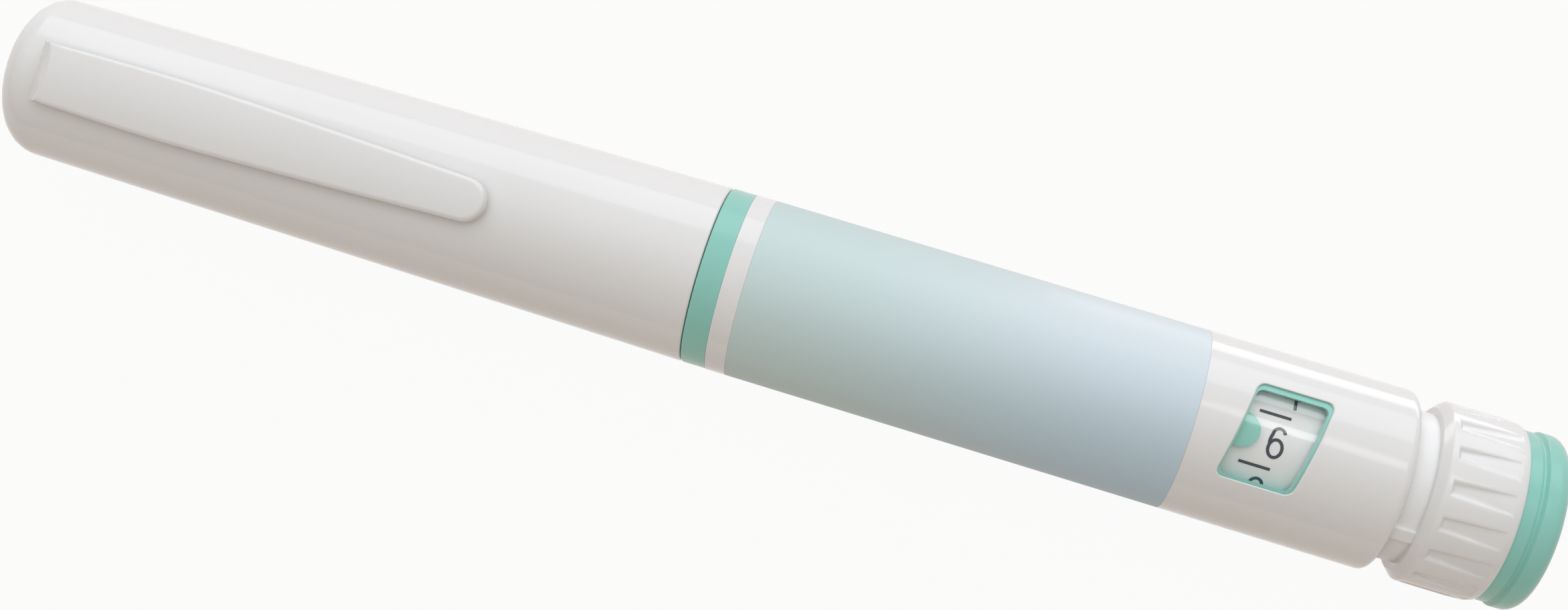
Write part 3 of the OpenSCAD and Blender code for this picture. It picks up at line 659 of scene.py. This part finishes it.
makeHousing()
makeRingAndLabel()
makeWindow()


# ---- number sleeve ----

drum = {"r": 7.2, "boreR": 6.3, "collarL": 2.4, "collarR": 7.42, "lugTurn": -40.6,
        "lugHalf": 0.69, "lugHigh": 0.35, "lugL": 4.2, "lugSunk": 0.2, "lugInKnob": 0.1,
        "lugRound": 0.1, "inkLift": 0.012, "inkT": 0.015}
scaleLook = {"shown": 6, "last": 60, "stepDeg": 20, "zeroDeg": -2.4, "shownX": 119.25,
             "leadPerUnit": 0.2944, "high": 3.0, "wide": 1.56, "stroke": 0.3, "between": 0.32,
             "tickL": 2.95, "tickT": 0.29, "tickShift": -1.0, "cutHigh": 0.27}


def makeDrum():
    low, high = sizeOf("number_sleeve")
    collarX = low.x + drum["collarL"]
    sleeve = turnedPiece("numberSleeve", [
        (low.x, drum["boreR"]), (low.x, drum["collarR"], 0.1), (collarX, drum["collarR"], 0.1),
        (collarX, drum["r"]), (high.x, drum["r"]), (high.x, drum["boreR"])], steps=128)
    # stop lug, which ends in the knob and is sunk in the sleeve's wall
    knobX = sizeOf("dose_knob")[0].x
    bpy.ops.mesh.primitive_cube_add(size=1, location=(
        knobX - drum["lugL"] / 2 + drum["lugInKnob"], 0,
        drum["r"] + drum["lugHigh"] / 2 - drum["lugSunk"]))
    lug = bpy.context.object
    lug.scale = (drum["lugL"] + drum["lugInKnob"] * 2, drum["lugHalf"] * 2,
                 drum["lugHigh"] + drum["lugSunk"] * 2)
    bpy.ops.object.transform_apply(location=True, scale=True)
    useModifier(lug, "BEVEL", width=drum["lugRound"], segments=3)
    turnPiece(lug, -drum["lugTurn"])
    combine(sleeve, lug, "UNION")
    finishPiece(sleeve, drumPlastic, "dial", ["number_sleeve"])


def arc(x, y, halfWide, halfHigh, start, end, steps=14):  # part of an ellipse, in degrees
    turns = [math.radians(start + (end - start) * k / steps) for k in range(steps + 1)]
    return [(x + halfWide * math.cos(t), y + halfHigh * math.sin(t)) for t in turns]


def digitStrokes(character):  # the middle lines of one digit, within what the stroke's width leaves
    w = (scaleLook["wide"] - scaleLook["stroke"]) / 2
    h = (scaleLook["high"] - scaleLook["stroke"]) / 2
    return {
        "0": [arc(0, h - w * 1.2, w, w * 1.2, 0, 180) + arc(0, w * 1.2 - h, w, w * 1.2, 180, 360)],
        "1": [[(w * 0.2, h + 0.15), (w * 0.2, -h - 0.15)], [(w * 0.25, h), (-w * 0.75, h - 0.55)]],
        "2": [arc(0, h - 0.64, w, 0.64, 165, -28) + [(-w * 0.9, -h)],
              [(-w - 0.12, -h), (w + 0.17, -h)]],
        "3": [arc(0, h - 0.62, w * 0.93, 0.62, 155, -90), arc(0, 0.70 - h, w, 0.70, 90, -158)],
        "4": [[(w * 0.5, h + 0.17), (w * 0.5, -h - 0.17)], [(w * 0.46, h), (-w, -0.3)],
              [(-w - 0.12, -0.3), (w + 0.17, -0.3)]],
        "5": [[(-w * 0.8, h), (w * 0.9, h)], [(-w * 0.72, h + 0.15), (-w * 0.88, -0.02)],
              arc(0, 0.84 - h, w, 0.84, 142, -155)],
        "6": [arc(0, 0.82 - h, w, 0.82, 0, 360, 28),
              arc(w * 0.06, h - 0.66, w * 0.92, 0.66, 22, 150)
              + arc(0.12, 0.1, w + 0.12, 1.1, 150, 196, 8)],
        "8": [arc(0, h - 0.62, w * 0.88, 0.62, 0, 360, 28),
              arc(0, 0.72 - h, w, 0.72, 0, 360, 28)]}[character]


def makeGlyph(character):  # one digit standing in the XZ plane, facing -Y, cut so that it can bend
    strokes = []
    for points in digitStrokes(character):
        ribbon = drawLine("stroke", points, lambda p: Vector((p[0], p[1], 0)))
        bpy.ops.mesh.select_all(action="SELECT")
        bpy.ops.mesh.remove_doubles(threshold=0.001)
        closePiece()
        bpy.ops.object.convert(target="CURVE")
        ribbon = bpy.context.object
        ribbon.data.twist_mode = "Z_UP"
        ribbon.data.extrude = scaleLook["stroke"] / 2
        for spline in ribbon.data.splines:
            for point in spline.points:
                point.tilt = math.pi / 2
        bpy.ops.object.convert(target="MESH")
        strokes.append(bpy.context.object)
    bpy.ops.object.select_all(action="DESELECT")
    for ribbon in strokes:
        ribbon.select_set(True)
    bpy.context.view_layer.objects.active = strokes[0]
    if len(strokes) > 1:
        bpy.ops.object.join()
    glyph = bpy.context.object
    glyph.rotation_euler = (math.pi / 2, 0, 0)
    bpy.ops.object.transform_apply(rotation=True, scale=True)
    openPiece(glyph)
    for k in range(-5, 6):
        bpy.ops.mesh.select_all(action="SELECT")
        bpy.ops.mesh.bisect(plane_co=(0, 0, k * scaleLook["cutHigh"]), plane_no=(0, 0, 1))
    closePiece()
    return glyph


def makeScale():  # the print is laid out flat, rolled up and slipped over the sleeve
    inkR = drum["r"] + drum["inkLift"]
    glyphs = {c: makeGlyph(c) for c in "01234568"}
    parts = []
    step = scaleLook["wide"] + scaleLook["between"]
    for unit in range(scaleLook["last"] + 1):
        past = unit - scaleLook["shown"]
        x = scaleLook["shownX"] - past * scaleLook["leadPerUnit"]
        z = math.radians(scaleLook["zeroDeg"] - past * scaleLook["stepDeg"]) * inkR
        if unit % 2:
            bpy.ops.mesh.primitive_plane_add(size=1, rotation=(math.pi / 2, 0, 0),
                                             location=(x + scaleLook["tickShift"], 0, z))
            tick = bpy.context.object
            tick.scale = (scaleLook["tickL"], scaleLook["tickT"], 1)
            bpy.ops.object.transform_apply(location=True, rotation=True, scale=True)
            parts.append(tick)
            continue
        text = str(unit)
        for i, character in enumerate(text):
            copy = glyphs[character].copy()
            copy.data = glyphs[character].data.copy()
            bpy.context.scene.collection.objects.link(copy)
            copy.location = (x + (i - len(text) + 1) * step, 0, z)
            parts.append(copy)
    for glyph in glyphs.values():
        bpy.data.objects.remove(glyph)
    bpy.ops.object.select_all(action="DESELECT")
    for part in parts:
        part.select_set(True)
    bpy.context.view_layer.objects.active = parts[0]
    bpy.ops.object.transform_apply(location=True)
    bpy.ops.object.join()
    ink = bpy.context.object
    ink.name = "doseNumbers"
    heights = [v.co.z for v in ink.data.vertices]
    useModifier(ink, "SIMPLE_DEFORM", deform_method="BEND", deform_axis="X",
                angle=(max(heights) - min(heights)) / inkR)
    ink.location = (0, -inkR, 0)
    bpy.ops.object.transform_apply(location=True)
    turnPiece(ink, -90)
    useModifier(ink, "SOLIDIFY", thickness=drum["inkT"], offset=0)
    finishPiece(ink, numberInk, "dial", even=False)


makeDrum()
makeScale()


# ---- dose knob and button ----

knob = {"r": 8.72, "frontRound": 1.05, "chamferL": 0.8, "chamferDrop": 0.85, "rearRound": 0.5,
        "grips": 16, "gripFront": 1.28, "gripRear": 0.75, "rim": 0.2, "frontHalf": 0.65,
        "rearHalf": 1.05, "deep": 0.42, "fade": 0.1, "wallRun": 0.27, "turn": -2.2, "soft": 0.12,
        "crownL": 1.6, "crownDrop": 0.3, "crownSteps": 16, "webX0": 135.8, "webX1": 138.6,
        "holeR": 2.9, "wall": 0.41}


def growRings(points):  # the chosen ring is extruded from (x, r) to (x, r)
    for last, now in zip(points, points[1:]):
        share = now[1] / last[1]
        step = (now[0] - last[0], 0, 0)
        bpy.ops.mesh.extrude_region_move(TRANSFORM_OT_translate={"value": step})
        if abs(share - 1) > 1e-6:
            bpy.ops.transform.resize(value=(1, share, share), center_override=(now[0], 0, 0))


def makeKnob():
    low, high = sizeOf("dose_knob")
    r, x0, x1, edge = knob["r"], low.x, high.x, knob["rim"]
    landX0, landX1 = x0 + knob["frontRound"], x1 - knob["rearRound"]
    pitch = math.tau * r / knob["grips"]
    bpy.ops.object.select_all(action="DESELECT")
    bpy.ops.mesh.primitive_plane_add(size=1, rotation=(math.pi / 2, 0, 0),
                                     location=((landX0 + landX1) / 2, 0, 0))
    rim = bpy.context.object
    rim.name = "doseKnob"
    rim.scale = (landX1 - landX0, pitch, 1)
    bpy.ops.object.transform_apply(location=True, rotation=True, scale=True)
    openPiece(rim, "FACE")
    bpy.ops.mesh.select_all(action="SELECT")
    bpy.ops.mesh.inset(thickness=edge)
    bpy.ops.mesh.select_mode(type="VERT")
    gripX0, gripX1 = x0 + knob["gripFront"], x1 - knob["gripRear"]
    for nowX, x, half in ((landX0 + edge, gripX0, knob["frontHalf"]),
                          (landX1 - edge, gripX1, knob["rearHalf"])):  # wedge outline
        choose(rim, "verts", lambda at, v: abs(at.x - nowX) < 0.01)
        bpy.ops.transform.resize(value=(1, 1, half / (pitch / 2 - edge)),
                                 center_override=(nowX, 0, 0))
        bpy.ops.transform.translate(value=(x - nowX, 0, 0))
    bpy.ops.mesh.select_mode(type="FACE")
    choose(rim, "faces", lambda at, f: abs(at.z) < 0.1 and abs(at.x - (landX0 + landX1) / 2) < 0.6)
    bpy.ops.mesh.inset(thickness=knob["wallRun"])
    bpy.ops.mesh.select_mode(type="VERT")
    for x, deep in ((gripX0 + knob["wallRun"], knob["deep"]),
                    (gripX1 - knob["wallRun"], knob["fade"])):  # floor, fading out behind
        choose(rim, "verts", lambda at, v: abs(at.x - x) < 0.05 and abs(at.z) < 1.3)
        bpy.ops.transform.translate(value=(0, deep, 0))
    closePiece()
    useModifier(rim, "BEVEL", limit_method="ANGLE", angle_limit=math.radians(8),
                width=knob["soft"], segments=3, use_clamp_overlap=True)
    useModifier(rim, "ARRAY", count=knob["grips"], use_relative_offset=False,
                use_constant_offset=True, constant_offset_displace=(0, 0, pitch),
                use_merge_vertices=True, merge_threshold=0.001)
    useModifier(rim, "SUBSURF", subdivision_type="SIMPLE", levels=2, render_levels=2)
    useModifier(rim, "SIMPLE_DEFORM", deform_method="BEND", deform_axis="X", angle=math.tau)
    rim.location = (0, -r, 0)
    bpy.ops.object.transform_apply(location=True)
    turnPiece(rim, -90)
    openPiece(rim)
    bpy.ops.mesh.select_all(action="SELECT")
    bpy.ops.mesh.remove_doubles(threshold=0.002)
    choose(rim, "verts", lambda at, v: abs(at.x - landX1) < 0.001)
    rearArc = [(landX1, r), (landX1 + knob["rearRound"] * 0.4, r), (x1 - 0.1, r),
               (x1 - 0.03, r - 0.03), (x1, r - 0.1)]
    frontArc = [tuple(p) for p in softened([
        (x0, drum["r"]), (x0, r - knob["chamferDrop"], 0.2), (x0 + knob["chamferL"], r, 0.45),
        (landX0, r)])][1:]
    bore = r - knob["wall"]
    growRings(rearArc + [
        (x1, bore), (knob["webX1"], bore), (knob["webX1"], knob["holeR"]),
        (knob["webX0"], knob["holeR"]), (knob["webX0"], drum["r"]), (x0, drum["r"])] + frontArc)
    bpy.ops.mesh.select_all(action="SELECT")
    bpy.ops.mesh.remove_doubles(threshold=0.002)
    steps = knob["crownSteps"]
    for k in range(steps):  # the rear end is crowned
        share = (k + 0.5) / steps
        choose(rim, "verts", lambda at, v: at.x > x1 - knob["crownL"] * (1 - share)
               and math.hypot(at.y, at.z) > bore + 0.01)
        grow = 1 - 2 * share * knob["crownDrop"] / r / steps
        bpy.ops.transform.resize(value=(1, grow, grow), center_override=(x1, 0, 0))
    faceOutward(rim)
    closePiece()
    turnPiece(rim, knob["turn"])
    finishPiece(rim, whiteAbs, "dial", ["dose_knob"], even=False)


button = {"skirtR": 8.23, "skirtInner": 7.33, "flangeR": 8.45, "round": 1.3, "dishR": 6.0,
          "dishRound": 1.2, "dish": 0.3, "grooveW": 0.6, "groove": 0.2, "band": 1.75,
          "crown": 2.0}


def makeButton():
    low, high = sizeOf("injection_button")
    knobEnd = sizeOf("dose_knob")[1].x
    stepX = knobEnd + button["band"]
    crownX = high.x - button["crown"]
    across, grooveR = button["grooveW"], button["skirtR"] - button["groove"]
    cup = turnedPiece("injectionButton", [
        (crownX, 0), (crownX, button["skirtInner"], 0.3), (low.x, button["skirtInner"]),
        (low.x, button["skirtR"], 0.15), (stepX - across, button["skirtR"], 0.08),
        (stepX - across * 0.6, grooveR, 0.08), (stepX - across * 0.3, grooveR, 0.08),
        (stepX + across * 0.1, button["flangeR"], 0.12),
        (high.x, button["flangeR"], button["round"]),
        (high.x, button["dishR"], button["dishRound"]),
        (high.x - button["dish"], 0)], steps=128, closed=False)
    finishPiece(cup, tealAbs, "button", ["injection_button"])


makeKnob()
makeButton()


# ---- pieces that keep their CAD shape ----

innerFinishes = {
    "cartridge_holder": holderClear, "cartridge_glass": drawnGlass, "crimp_cap": crimpAluminium,
    "septum": greyRubber, "plunger_stopper": greyRubber, "cartridge_cushion": whiteAcetal,
    "threaded_insert": whiteAcetal, "piston_rod": whiteAcetal, "pressure_foot": whiteAcetal,
    "drive_sleeve": ivoryAcetal, "last_dose_nut": whiteAcetal, "click_ring": ivoryAcetal,
    "clutch_sleeve": ivoryAcetal, "clutch_spring": springSteel, "button_stem": whiteAcetal}
for name, material in innerFinishes.items():
    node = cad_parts[name]
    node.data.materials.clear()
    node.data.materials.append(material)
print("inner pieces dressed")


# ---- floor, lamps and camera ----

floorLook = {"colour": "#BFA590", "shownWhite": 0.95}


def makeFloor():
    bpy.ops.object.select_all(action="DESELECT")
    bpy.ops.mesh.primitive_plane_add(size=6, location=(0.07, 0, cadLow.z - 0.00002))
    ground = bpy.context.object
    ground.name = "studioFloor"
    material, tree = newMaterial("paleStudioPaper")
    path = addNode(tree, "LightPath")
    seen = addNode(tree, "Math", {"operation": "MAXIMUM"}, {
        0: path.outputs["Is Camera Ray"], 1: path.outputs["Is Glossy Ray"]})
    seen = addNode(tree, "Math", {"operation": "MAXIMUM"}, {
        0: seen.outputs["Value"], 1: path.outputs["Is Transmission Ray"]})
    share = addNode(tree, "Math", {"operation": "MULTIPLY"}, {
        0: seen.outputs["Value"], 1: floorLook["shownWhite"]})
    paper = addNode(tree, "BsdfDiffuse", inputs={"Color": linear(floorLook["colour"])})
    white = addNode(tree, "Emission", inputs={"Color": (1, 1, 1, 1), "Strength": 1.0})
    mixed = addNode(tree, "MixShader", inputs={
        0: share.outputs["Value"], 1: paper.outputs["BSDF"], 2: white.outputs["Emission"]})
    addNode(tree, "OutputMaterial", inputs={"Surface": mixed.outputs["Shader"]})
    ground.data.materials.append(material)


def addLamp(name, place, target, size, power, colour="#FFFFFF", **seen):
    bpy.ops.object.light_add(type="AREA", location=place)
    lamp = bpy.context.object
    lamp.name = name
    lamp.rotation_mode = "QUATERNION"
    lamp.rotation_quaternion = (Vector(target) - Vector(place)).to_track_quat("-Z", "Y")
    lamp.data.shape = "RECTANGLE"
    lamp.data.size, lamp.data.size_y = size
    lamp.data.energy = power
    lamp.data.color = linear(colour)[:3]
    for key, value in seen.items():
        setattr(lamp, key, value)


makeFloor()
middle = (0.07, 0, 0)
addLamp("sideSoftbox", (0.06, 0.54, 0.217), middle, (0.9, 0.40), 1.88, "#EAF3FF")
addLamp("overheadSoftbox", (0.0, 0.10, 0.60), middle, (0.8, 0.6), 1.3, "#EAF3FF",
        visible_glossy=False)
addLamp("housingStrip", (0.208, 0.133, 0.377), (0.125, 0, 0), (0.095, 0.06), 0.045)
addLamp("housingCard", (0.122, 0.025, -0.0018), (0.122, 0, -0.0018), (0.05, 0.0073), 0.0025,
        visible_camera=False, visible_diffuse=False)

world = bpy.data.worlds.new("studioRoom")
bpy.context.scene.world = world
world.use_nodes = True
world.node_tree.nodes.clear()
air = addNode(world.node_tree, "Background", inputs={"Color": linear("#FFF5E9"), "Strength": 0.45})
addNode(world.node_tree, "OutputWorld", inputs={"Surface": air.outputs["Background"]})

camera = {"lens": 44.37, "sensor": 36.0, "place": (0.086509, -0.016484, 0.184706),
          "right": (0.954182, 0.295254, -0.048601), "up": (-0.289167, 0.951621, 0.103938),
          "back": (0.076937, -0.085122, 0.993397)}
bpy.ops.object.camera_add()
eye = bpy.context.object
eye.name = "studioCamera"
eye.data.lens, eye.data.sensor_width = camera["lens"], camera["sensor"]
eye.data.clip_start, eye.data.clip_end = 0.01, 20
turned = Matrix((camera["right"], camera["up"], camera["back"])).transposed().to_4x4()
eye.matrix_world = Matrix.Translation(camera["place"]) @ turned
bpy.context.scene.camera = eye
bpy.context.scene.view_settings.view_transform = "Standard"
print("floor, lamps and camera placed")
